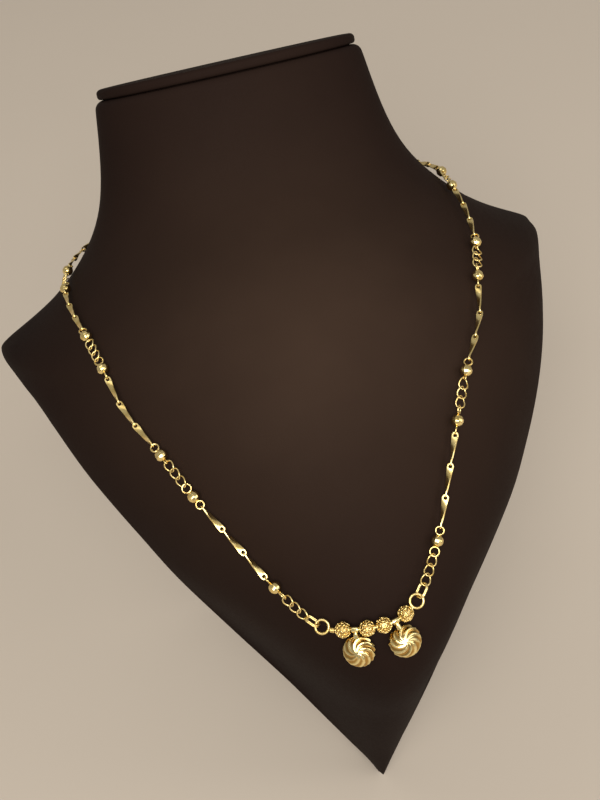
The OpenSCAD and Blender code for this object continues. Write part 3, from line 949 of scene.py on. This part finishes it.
@dataclass(frozen=True)
class StrandSizes:
    """Named sizes of the strand's pieces, in millimetres, as in the part's source."""

    ball_d: float = 3.65
    ring: WireLoop = WireLoop(2.9, 0.5)
    hold: WireLoop = WireLoop(3.2, 0.5)
    hold_tilt: float = 36.0
    tie: WireLoop = WireLoop(1.78, 0.42)
    eye: WireLoop = WireLoop(2.1, 0.42)
    link: WireLoop = WireLoop(4.1, 0.48)
    link_w: float = 3.6
    link_wave: float = 0.42
    oval: WireLoop = WireLoop(5.0, 0.48)
    end_loop: WireLoop = WireLoop(4.75, 0.74)
    left_loop: float = 16.1
    right_loop: float = 14.5
    bar_run: float = 35.6
    chain_run: float = 15.8
    lay_turn: float = 40.0
    sunk: float = 0.22
    play: float = 0.15
    chain_play: float = 0.2
    slack: float = 0.08
    # how much closer than straight ones the first joints outwards lie
    oval_bend: float = 0.13
    link_bend: float = 0.05
    run_bend: float = 0.03

    def seat(self, loop: WireLoop) -> float:
        """Distance from a ball's middle to the middle of a loop soldered to it."""
        return (self.ball_d + loop.length) / 2 - self.sunk

    @property
    def ring_to_eye(self) -> float:
        """Distance from a ring's middle to the next bar's eye."""
        return self.ring.to(self.eye, self.play)

    @property
    def eye_to_eye(self) -> float:
        """Distance between two joined eyes."""
        return self.eye.to(self.eye, self.play)

    @property
    def bar_l(self) -> float:
        """Length of a bar between its eyes' middles."""
        ends = 2 * (self.seat(self.ring) + self.ring_to_eye)
        return (self.bar_run - ends - (PER_RUN - 1) * self.eye_to_eye) / PER_RUN

    @property
    def hold_to_link(self) -> float:
        """Distance from a chain ring's middle to the first link's middle."""
        return self.hold.to(self.link, self.chain_play)

    @property
    def link_to_link(self) -> float:
        """Distance between links of a chain run."""
        ends = self.seat(self.hold) + self.hold_to_link
        ends += self.tie.to(self.link, self.chain_play) + self.seat(self.tie)
        return (self.chain_run - ends) / (PER_RUN - 1)

    def slack_of(self, side: Side) -> float:
        """Slack next to the centre piece."""
        return self.slack if side is Side.LEFT else 0.0

    def first_link(self, side: Side) -> float:
        """Distance of the first link from the middle."""
        loop = self.left_loop if side is Side.LEFT else self.right_loop
        to_oval = self.end_loop.to(self.oval, self.play) - self.oval_bend
        to_link = self.oval.to(self.link, self.play) - self.link_bend
        return loop + to_oval + to_link - 2 * self.slack_of(side)

    def first_pitch(self, side: Side) -> float:
        """Distance between links of the first chain run."""
        return self.link.to(self.link, self.chain_play) - self.run_bend - self.slack_of(side)

    def ball_at(self, side: Side, n: int) -> float:
        """Distance of ball n from the middle."""
        first = self.first_link(side) + (PER_RUN - 1) * self.first_pitch(side)
        first += self.hold_to_link - self.slack_of(side) + self.seat(self.hold)
        return first + self.bar_run * (n // 2) + self.chain_run * ((n - 1) // 2)

    def flat_first(self, side: Side, run: int) -> bool:
        """Whether a run of bars has its flat eyes towards the middle."""
        return side is Side.LEFT and run == 1


@dataclass
class StrandPieces:
    """Pieces of one kind along the strand."""

    strand: Strand
    gold: bpy.types.Material
    sizes: StrandSizes = StrandSizes()

    def each(self, kind: str, count: int) -> Iterator[tuple[Side, int, str]]:
        """The nodes of a kind on both sides, with their side and number outwards."""
        for side in Side:
            for n in range(1, count + 1):
                yield side, n, f"{kind}_{side.name.lower()}_{n}"

    def put(self, node: str, look: str, parts: Parts, body: str = "stand") -> None:
        """Makes a piece of copies of masters and dresses it in place of its node."""
        dress(copies(f"{node}_{look}", parts), self.gold, body, [node])


@dataclass
class Balls(StrandPieces):
    """Cut balls with a soldered ring at each end."""

    count: int = 9
    facets: int = 10
    bands: int = 7
    swell: float = 1.03
    facet_edge: float = 0.09
    solder_full: float = 1.35
    solder_wires: float = 0.35
    solder_share: float = 0.1
    turn_step: float = 37.0
    turn_start: float = 11.0

    def ball_master(self) -> bpy.types.Object:
        """A ball with flat cut facets in bands, its poles along the strand."""
        obj = add(
            bpy.ops.mesh.primitive_uv_sphere_add,
            "ball_master",
            segments=self.facets,
            ring_count=self.bands,
            radius=self.swell * self.sizes.ball_d / 2 * MM,
        )
        soften(obj, self.facet_edge, segments=2, above=7)
        smooth(obj, angle=9)
        return obj

    def ring_master(self, loop: WireLoop) -> bpy.types.Object:
        """A ring of round wire in the XZ plane, fuller at -Z, where it is soldered."""
        obj = wire_ring(loop.mid, loop.wire, around=36, across=12)
        obj.rotation_euler = (math.pi / 2, 0, 0)
        place(obj)
        reach = self.solder_wires * loop.wire + self.solder_share * loop.mid
        joint = (1.0, self.solder_full, 1.0)
        resize_where(obj, lambda p: abs(p.z / MM + loop.mid) < reach, joint)
        smooth(obj)
        return obj

    def rings(self, side: Side, n: int) -> tuple[tuple[WireLoop, float], ...]:
        """The inner and the outer ring of ball n, with their turns about the strand."""
        z = self.sizes
        flat = -side.value * z.lay_turn
        edge = flat + 90.0
        flat_first = z.flat_first(side, (n + 1) // 2)
        if n % 2 == 0:
            return (z.ring, flat if flat_first else edge), (z.hold, z.hold_tilt)
        inner = (z.hold, -z.hold_tilt) if n == 1 else (z.tie, 90.0)
        return inner, (z.ring, edge if flat_first else flat)

    def ring_seat(self, loop: WireLoop, turn: float, way: int) -> Matrix:
        """Place of a ring on its ball, towards Z or against it, soldered side inwards."""
        flip = Matrix.Rotation(math.pi if way < 0 else 0.0, 4, "X")
        spin = Matrix.Rotation(math.radians(turn), 4, "Z")
        return Matrix.Translation((0, 0, way * self.sizes.seat(loop) * MM)) @ spin @ flip

    def build(self) -> None:
        """Builds and dresses all the balls."""
        z = self.sizes
        ball = self.ball_master()
        masters = {loop: self.ring_master(loop) for loop in (z.ring, z.hold, z.tie)}
        for side, n, node in self.each("ball", self.count):
            rings = self.rings(side, n)
            back, ahead = (z.seat(loop) for loop, _ in rings)
            frame = self.strand.piece(side, z.ball_at(side, n), back, ahead)
            spin = math.radians(self.turn_step * n + self.turn_start)
            parts = [(ball, frame @ Matrix.Rotation(spin, 4, "Z"))]
            for way, (loop, turn) in zip((-1, 1), rings):
                parts.append((masters[loop], frame @ self.ring_seat(loop, turn, way)))
            self.put(node, "cut", parts)
        drop_masters(ball, *masters.values())


@dataclass
class CurbChain(StrandPieces):
    """Runs of three waved links."""

    runs: int = 5
    wire_share: float = 0.97
    half_frame: float = 1.4

    def link_master(self) -> bpy.types.Object:
        """One waved oval of round wire, in the XZ plane."""
        z = self.sizes
        half_w, half_l = (z.link_w - z.link.wire) / 2, z.link.mid
        obj = add(bpy.ops.curve.primitive_bezier_circle_add, "link_master", radius=1.0)
        curve = obj.data
        for k, point in enumerate(curve.splines[0].bezier_points):
            t = math.radians(90 * k)
            c, s = math.cos(t), math.sin(t)
            at = Vector((half_w * c, 0.0, half_l * s)) * MM
            run = Vector((-half_w * s, 2 * z.link_wave * math.cos(2 * t), half_l * c)) * MM
            point.handle_left_type = point.handle_right_type = "FREE"
            point.co = at
            point.handle_left = at - run * QUARTER_HANDLE
            point.handle_right = at + run * QUARTER_HANDLE
        curve.resolution_u = 12
        curve.bevel_depth = z.link.wire / 2 * self.wire_share * MM
        curve.bevel_resolution = 3
        bpy.ops.object.convert(target="MESH")
        obj = bpy.context.object
        merge_doubles(obj)
        smooth(obj)
        return obj

    def build(self) -> None:
        """Builds and dresses the runs."""
        z, half = self.sizes, self.half_frame
        link = self.link_master()
        for side, run, node in self.each("chain", self.runs):
            start, pitch = z.first_link(side), z.first_pitch(side)
            if run > 1:
                start = z.ball_at(side, 2 * run - 2) + z.seat(z.hold) + z.hold_to_link
                pitch = z.link_to_link
            places = [start + i * pitch for i in range(PER_RUN)]
            parts = [(link, self.strand.piece(side, at, half, half)) for at in places]
            self.put(node, "links", parts)
        drop_masters(link)


@dataclass
class Bars(StrandPieces):
    """Runs of three flat bars, each twisted by a quarter turn between two eyes."""

    runs: int = 5
    plate_t: float = 0.44
    strip_w: float = 1.94
    waist: float = 0.8
    rows: int = 40
    blade_share: float = 0.92
    end_round: float = 0.47
    hole_r: float = 0.55
    edge: float = 0.07

    def bar_master(self) -> bpy.types.Object:
        """One bar: a strip with rounded ends and a hole at each, twisted lengthwise."""
        z = self.sizes
        length = (z.bar_l + z.eye.length) * MM
        obj = add(bpy.ops.mesh.primitive_cube_add, "bar_master", size=1.0)
        obj.scale = (self.strip_w * MM, self.plate_t * MM, length)
        place(obj)
        self.round_ends(obj, length / 2)
        for i in range(1, self.rows):
            select_where(obj)
            bpy.ops.mesh.bisect(
                plane_co=(0, 0, self.level(i)), plane_no=(0, 0, 1), use_fill=False
            )
            leave_edit()
        self.taper(obj)
        for end in (-1, 1):
            drill(
                obj,
                vertices=28,
                radius=self.hole_r * MM,
                depth=4 * self.plate_t * MM,
                location=(0, 0, end * z.bar_l / 2 * MM),
                rotation=(math.pi / 2, 0, 0),
            )
        soften(obj, self.edge, segments=2, above=50)
        self.twist(obj)
        smooth(obj, angle=35)
        return obj

    def level(self, row: float) -> float:
        """Height of a row of the strip's vertices, in metres."""
        return (row / self.rows - 0.5) * self.sizes.bar_l * MM

    def round_ends(self, obj: bpy.types.Object, half: float) -> None:
        """Rounds the corners of the strip's two ends, half its length from the middle."""
        select_where(obj, lambda p: False)
        bpy.ops.mesh.select_mode(type="EDGE")
        leave_edit()
        for edge in obj.data.edges:
            a, b = (obj.data.vertices[i].co for i in edge.vertices)
            crosswise = abs(a.z - b.z) < NEAR and abs(a.x - b.x) < NEAR
            edge.select = crosswise and abs(abs(a.z) - half) < NEAR
        bpy.ops.object.mode_set(mode="EDIT")
        bpy.ops.mesh.bevel(
            offset=self.strip_w * self.end_round * MM, segments=7, profile=0.5
        )
        leave_edit()

    def taper(self, obj: bpy.types.Object) -> None:
        """Draws the strip in towards its middle."""
        reach = (self.sizes.bar_l / 2 - self.sizes.eye.mid) * MM
        for i in range(1, self.rows):
            at = self.level(i)
            share = min(abs(at) / reach, 1.0)
            scale = self.waist + (1 - self.waist) * share * share
            resize_where(obj, lambda p: abs(p.z - at) < NEAR, (scale, 1.0, 1.0), (0, 0, at))

    def twist(self, obj: bpy.types.Object) -> None:
        """Turns the strip row by row, all beyond each row together."""
        reach = self.sizes.bar_l * self.blade_share / 2 * MM
        heights = [h for h in (self.level(i + 0.5) for i in range(self.rows)) if abs(h) < reach]
        for height in heights:
            select_where(obj, lambda p: p.z > height)
            turn_selected(90 / len(heights))
            leave_edit()

    def build(self) -> None:
        """Builds and dresses the runs."""
        z = self.sizes
        half = z.bar_l / 2
        bar = self.bar_master()
        for side, run, node in self.each("bars", self.runs):
            start = z.ball_at(side, 2 * run - 1) + z.seat(z.ring) + z.ring_to_eye
            degrees = (0 if z.flat_first(side, run) else 90) - side.value * z.lay_turn
            turn = Matrix.Rotation(math.radians(degrees), 4, "Z")
            places = [start + half + i * (z.bar_l + z.eye_to_eye) for i in range(PER_RUN)]
            parts = [(bar, self.strand.piece(side, at, half, half) @ turn) for at in places]
            self.put(node, "twisted", parts)
        drop_masters(bar)


# The centre piece


@dataclass
class GrainedBeads(StrandPieces):
    """Four beads of small rings and grains soldered round a hollow core."""

    # darker gold of the core: painted shade between the grains, together with the darker oxide
    # in the crevices
    hollow: bpy.types.Material | None = None
    core_r: float = 1.9
    bore_angle: float = 14.0
    grain_d: float = 0.74
    grain_flat: float = 0.92
    rosette_r: float = 0.58
    rosette_wire: float = 0.34
    collar_r: float = 0.9
    collar_wire: float = 0.52
    collar_lift: float = 0.13
    rosette_lift: float = 0.26
    grain_lift: float = 0.14
    turn_step: float = 17.0
    spans: tuple[Row, ...] = ((-12, -7.15), (-4.85, 0), (0, 4.85), (7.15, 12))

    @staticmethod
    def coated(obj: bpy.types.Object, material: bpy.types.Material) -> bpy.types.Object:
        """Gives a master its own finish and smooth shading."""
        obj.data.materials.append(material)
        smooth(obj)
        return obj

    def core_master(self) -> bpy.types.Object:
        """The bead's open core, its poles along the wire."""
        sphere = bpy.ops.mesh.primitive_uv_sphere_add
        obj = add(sphere, "bead_core", segments=32, ring_count=20, radius=self.core_r * MM)
        limit = self.core_r * math.cos(math.radians(self.bore_angle)) * MM
        select_where(obj, lambda p: abs(p.z) > limit, faces=True)
        bpy.ops.mesh.delete(type="FACE")
        leave_edit()
        return self.coated(obj, self.hollow)

    def grain_master(self) -> bpy.types.Object:
        """One grain."""
        sphere = bpy.ops.mesh.primitive_ico_sphere_add
        obj = add(sphere, "grain", subdivisions=2, radius=self.grain_d / 2 * MM)
        obj.scale = (1.0, 1.0, self.grain_flat)
        place(obj)
        return self.coated(obj, self.gold)

    @staticmethod
    def on_sphere(latitude: float, turn: float, r: float) -> Matrix:
        """Frame on a sphere about the origin whose Z points outwards."""
        spin = Matrix.Rotation(math.radians(turn), 4, "Z")
        tip = Matrix.Rotation(math.radians(90 - latitude), 4, "Y")
        return spin @ tip @ Matrix.Translation((0, 0, r * MM))

    def build(self) -> None:
        """Builds and dresses the four beads."""
        core, grain = self.core_master(), self.grain_master()
        rosette = wire_ring(self.rosette_r, self.rosette_wire, around=18, across=8)
        collar = wire_ring(self.collar_r, self.collar_wire, around=28, across=10)
        for ring in (rosette, collar):
            self.coated(ring, self.gold)
        rows = (
            # latitude, count, first turn, height over the core, master
            (0.0, 8, 0.0, self.rosette_lift, rosette),
            (43.0, 6, 10.0, self.rosette_lift, rosette),
            (-43.0, 6, 40.0, self.rosette_lift, rosette),
            (22.0, 8, 22.5, self.grain_lift, grain),
            (-22.0, 8, 22.5, self.grain_lift, grain),
        )
        ends = [way * (self.core_r + self.collar_lift) * MM for way in (-1, 1)]
        for i, (a, b) in enumerate(self.spans):
            frame = self.strand.between(a, b, (a + b) / 2)
            parts = [(core, frame)]
            parts += [(collar, frame @ Matrix.Translation((0, 0, end))) for end in ends]
            for latitude, count, start, lift, master in rows:
                for k in range(count):
                    turn = start + self.turn_step * i + 360 * k / count
                    seat = self.on_sphere(latitude, turn, self.core_r + lift)
                    parts.append((master, frame @ seat))
            self.put(f"bead_{i + 1}", "grained", parts)
        drop_masters(core, grain, rosette, collar)


@dataclass
class Cups(StrandPieces):
    """The two domed cups with swirling flutes, each on its tube. Lengths are millimetres."""

    # where a cup's tube is on the strand, and its dome's rim under and behind the tube
    from_middle: float = 6.0
    half_frame: float = 1.3
    drop: float = 6.9
    rim_y: float = -2.45
    tilt: float = -5.0
    rim_r: float = 5.1
    height: float = 3.1
    wall: float = 0.42
    lobes: int = 9
    swirl: float = 95.0
    levels: Row = (90, 84, 76, 67, 58, 49, 40, 31, 22, 13, 6)
    # share of the flute's depth at each place of a lobe, from ridge to ridge
    profile: Row = (0.0, 0.28, 0.62, 0.9, 1.0, 0.86, 0.5, 0.16)
    flute: float = 0.12
    # level at which a flute has no depth, and levels over which it grows to the full
    top_fade: Row = (4, 40)
    rim_fade: Row = (112, 48)
    tooth: float = 0.09
    teeth_from: float = 76.0
    tooth_places: int = 4
    tube_r: float = 0.85
    tube_l: float = 2.0
    bore_r: float = 0.44
    tube_lip: float = 0.1
    neck_r: float = 0.52
    # height along the neck, scale of its width there
    neck_ends: tuple[Row, ...] = ((0.5, 1.15), (2.5, 1.5))
    neck_lip: float = 0.12
    neck_at: Row = (-0.2, 0.05, 0)
    neck_turn: float = 8.0

    def dome_master(self) -> bpy.types.Object:
        """The fluted dome: its rim in the XY plane, its top towards Z."""
        obj = add(
            bpy.ops.mesh.primitive_circle_add,
            "dome",
            vertices=self.lobes * len(self.profile),
            radius=self.rim_r * MM,
            fill_type="NOTHING",
        )
        select_where(obj)
        radius, height = 1.0, 0.0
        for before, level in zip(self.levels, self.levels[1:]):
            r, h = math.sin(math.radians(level)), math.cos(math.radians(level))
            bpy.ops.mesh.extrude_region_move()
            bpy.ops.transform.resize(
                value=(r / radius, r / radius, 1), center_override=ORIGIN
            )
            bpy.ops.transform.translate(value=(0, 0, (h - height) * self.height * MM))
            turn_selected(self.swirl * (before - level) / 90)
            radius, height = r, h
        bpy.ops.mesh.edge_face_add()
        bpy.ops.mesh.poke()
        leave_edit()
        self.cut_flutes(obj)
        merge_doubles(obj)
        finish_with(obj, "SOLIDIFY", thickness=self.wall * MM, offset=-1.0)
        finish_with(obj, "SUBSURF", levels=1, render_levels=1)
        smooth(obj)
        return obj

    def place_in_lobe(self, p: Vector, turned: float) -> int:
        """Place of a vertex in its lobe, counted from the ridge, and -1 at the dome's top."""
        if p.xy.length <= NEAR:
            return -1
        step = 360 / (self.lobes * len(self.profile))
        return round((math.degrees(math.atan2(p.y, p.x)) - turned) / step) % len(self.profile)

    def cut_flutes(self, obj: bpy.types.Object) -> None:
        """Draws the dome in between its ridges, level by level, and notches its rim; it also
        stores each vertex's flute depth, from which the gold paints shade into the hollows.
        """
        obj.data.attributes.new(FLUTE_SHADE, "FLOAT", "POINT")
        half_tooth = self.tooth_places / 2
        for level in self.levels:
            turned = self.swirl * (self.levels[0] - level) / 90
            from_top = (level - self.top_fade[0]) / self.top_fade[1]
            from_rim = (self.rim_fade[0] - level) / self.rim_fade[1]
            fade = min(1.0, max(0.0, from_top), from_rim)
            z = math.cos(math.radians(level)) * self.height * MM
            for k, share in enumerate(self.profile):
                pull = 1 - self.flute * fade * share
                if level >= self.teeth_from:
                    notch = abs(k % self.tooth_places - half_tooth) / half_tooth
                    pull *= 1 - self.tooth * notch
                if pull == 1:
                    continue
                resize_where(
                    obj,
                    lambda p: abs(p.z - z) <= NEAR and self.place_in_lobe(p, turned) == k,
                    (pull, pull, pull),
                )
                # flute depth per vertex, used only as painted shade in the gold's colour
                hollow = obj.data.attributes[FLUTE_SHADE].data
                for vertex in obj.data.vertices:
                    if vertex.select:
                        hollow[vertex.index].value = share * fade

    def tube_master(self) -> bpy.types.Object:
        """The tube that turns on the wire, open along Z, with rounded lips."""
        tube = {"vertices": 32, "radius": self.tube_r * MM, "depth": self.tube_l * MM}
        obj = add(bpy.ops.mesh.primitive_cylinder_add, "tube", **tube)
        drill(obj, vertices=32, radius=self.bore_r * MM, depth=2 * self.tube_l * MM)
        soften(obj, self.tube_lip, segments=3, above=50)
        smooth(obj, angle=35)
        return obj

    def neck_master(self) -> bpy.types.Object:
        """The short neck between tube and cup, flaring to both ends, along Z."""
        low, high = self.neck_ends[0][0], self.neck_ends[-1][0]
        obj = add(
            bpy.ops.mesh.primitive_cylinder_add,
            "neck",
            vertices=24,
            radius=self.neck_r * MM,
            depth=(high - low) * MM,
            location=(0, 0, (low + high) / 2 * MM),
        )
        place(obj)
        for end, scale in self.neck_ends:
            at = end * MM
            resize_where(obj, lambda p: abs(p.z - at) < NEAR, (scale, scale, 1), (0, 0, at))
        soften(obj, self.neck_lip, segments=3, above=50)
        smooth(obj, angle=35)
        return obj

    def build(self) -> None:
        """Builds and dresses the two cups."""
        dome, tube, neck = self.dome_master(), self.tube_master(), self.neck_master()
        tilt = Matrix.Rotation(math.radians(self.tilt), 4, "Z")
        seat = Matrix.Translation(Vector((-self.drop, self.rim_y, 0)) * MM)
        dome_to = tilt @ seat @ Matrix.Rotation(-math.pi / 2, 4, "X")
        neck_to = (
            tilt
            @ Matrix.Translation(Vector(self.neck_at) * MM)
            @ Matrix.Rotation(-math.pi / 2, 4, "Y")
            @ Matrix.Rotation(math.radians(self.neck_turn), 4, "X")
        )
        for side in Side:
            middle, half = side.value * self.from_middle, self.half_frame
            frame = self.strand.between(middle - half, middle + half, middle)
            parts = [(dome, frame @ dome_to), (tube, frame), (neck, frame @ neck_to)]
            name = f"vati_{side.name.lower()}"
            self.put(name, "fluted", parts, body=name)
        drop_masters(dome, tube, neck)


@dataclass
class PlainWires:
    """The carrying wire, the oval links and the clasp, whose plain solids are right."""

    nodes: dict[str, bpy.types.Object]
    gold: bpy.types.Material
    kept: tuple[str, ...] = ("centre_wire", "oval_link_left", "oval_link_right", "clasp")

    def build(self) -> None:
        """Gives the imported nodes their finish."""
        for node in self.kept:
            obj = self.nodes[node]
            obj.data.materials.clear()
            obj.data.materials.append(self.gold)
            log.info("%s keeps its packed mesh", node)


# The studio


@dataclass(frozen=True)
class SoftBox:
    """One soft light: its place and size in metres, its power in watts and its colour."""

    name: str
    at: Row
    size: float
    power: float
    colour: Row


@dataclass
class Studio:
    """Pale floor, soft lights and the camera at the photograph's viewing angle."""

    strand: Strand
    eye: Row = (-39.4, -455.9, 312.5)
    yaw: float = 4.9
    pitch: float = 17.07
    roll: float = -12.66
    focal_px: float = 1300.0
    height_px: float = 800.0
    sensor: float = 36.0
    clip: Row = (0.01, 50.0)
    floor_size: float = 8.0
    room_colour: Row = (1.0, 0.955, 0.9, 1.0)
    room_light: float = 0.34
    aim: Row = (0.0, 0.0, 0.15)
    boxes: tuple[SoftBox, ...] = (
        SoftBox("key_box", (-0.35, -1.6, 1.9), 1.3, 50.0, (1.0, 0.955, 0.9)),
        SoftBox("fill_box", (1.3, -1.1, 1.2), 1.4, 12.0, (1.0, 0.96, 0.92)),
        SoftBox("top_box", (-0.5, 0.3, 1.9), 0.8, 2.5, (1.0, 0.97, 0.93)),
    )

    def add_floor(self) -> None:
        """A wide pale table top."""
        floor = add(bpy.ops.mesh.primitive_plane_add, "table_top", size=self.floor_size)
        floor.data.materials.append(TableFinish().material())

    def add_lights(self) -> None:
        """Soft boxes that face the object."""
        for box in self.boxes:
            lamp = add(bpy.ops.object.light_add, box.name, type="AREA", location=box.at)
            lamp.data.size = box.size
            lamp.data.energy = box.power
            lamp.data.color = box.colour
            to = Vector(self.aim) - Vector(box.at)
            lamp.rotation_euler = to.to_track_quat("-Z", "Y").to_euler()

    def add_world(self) -> None:
        """Even soft room light."""
        world = bpy.data.worlds.new("studio")
        world.use_nodes = True
        background = world.node_tree.nodes["Background"]
        background.inputs["Color"].default_value = self.room_colour
        background.inputs["Strength"].default_value = self.room_light
        bpy.context.scene.world = world

    def add_camera(self) -> None:
        """The camera, from its place and angles in the bust's own upright frame."""
        yaw, pitch, roll = (math.radians(a) for a in (self.yaw, self.pitch, self.roll))
        turn = self.strand.leaned.to_3x3()
        ahead = Vector((math.sin(yaw), math.cos(yaw), 0.0)) * math.cos(pitch)
        forward = turn @ (ahead - Vector((0.0, 0.0, math.sin(pitch))))
        level = turn @ Vector((math.cos(yaw), -math.sin(yaw), 0.0))
        up = level.cross(forward)
        right = level * math.cos(roll) + up * math.sin(roll)
        top = up * math.cos(roll) - level * math.sin(roll)
        eye = (self.strand.leaned @ Vector(self.eye)) * MM
        camera = add(bpy.ops.object.camera_add, "photo_camera", location=eye)
        axes = Matrix((right, top, -forward)).transposed().to_4x4()
        camera.matrix_world = Matrix.Translation(eye) @ axes
        camera.data.sensor_width = self.sensor
        camera.data.lens = self.sensor * self.focal_px / self.height_px
        camera.data.clip_start, camera.data.clip_end = self.clip
        bpy.context.scene.camera = camera

    def build(self) -> None:
        """Builds floor, lights and camera."""
        self.add_floor()
        self.add_world()
        self.add_lights()
        self.add_camera()
        bpy.context.scene.view_settings.view_transform = "Standard"


GOLDS = (
    GoldFinish("yellow_gold"),
    GoldFinish("cut_gold", roughness=0.12, spread=0.08),
    GoldFinish("plate_gold", roughness=0.22, spread=0.14),
    # darker gold for the bead cores: painted shade between the grains, together with the darker
    # oxide in the crevices
    GoldFinish("hollow_gold", (0.74, 0.56, 0.22), (0.52, 0.36, 0.12), roughness=0.28),
    # the cups' gold: its deep colour is painted shade in the flutes' hollows, its bright colour
    # painted light on the ridges
    GoldFinish("fluted_gold", (1, 0.84, 0.4), (0.52, 0.31, 0.08), 0.13, 0.09, FLUTE_SHADE),
)


def main() -> None:
    """Builds the whole scene."""
    logging.basicConfig(level=logging.INFO, format="%(message)s")
    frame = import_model()
    nodes = frame["nodes"]
    deselect()
    strand = Strand()
    log.info("strand %.2f mm round", strand.length)
    gold = {finish.name: finish.material() for finish in GOLDS}
    NeckBust(strand, nodes).build()
    Balls(strand, gold["cut_gold"]).build()
    CurbChain(strand, gold["yellow_gold"]).build()
    Bars(strand, gold["plate_gold"]).build()
    GrainedBeads(strand, gold["cut_gold"], hollow=gold["hollow_gold"]).build()
    Cups(strand, gold["fluted_gold"]).build()
    PlainWires(nodes, gold["yellow_gold"]).build()
    Studio(strand).build()


if __name__ == "__main__":
    main()
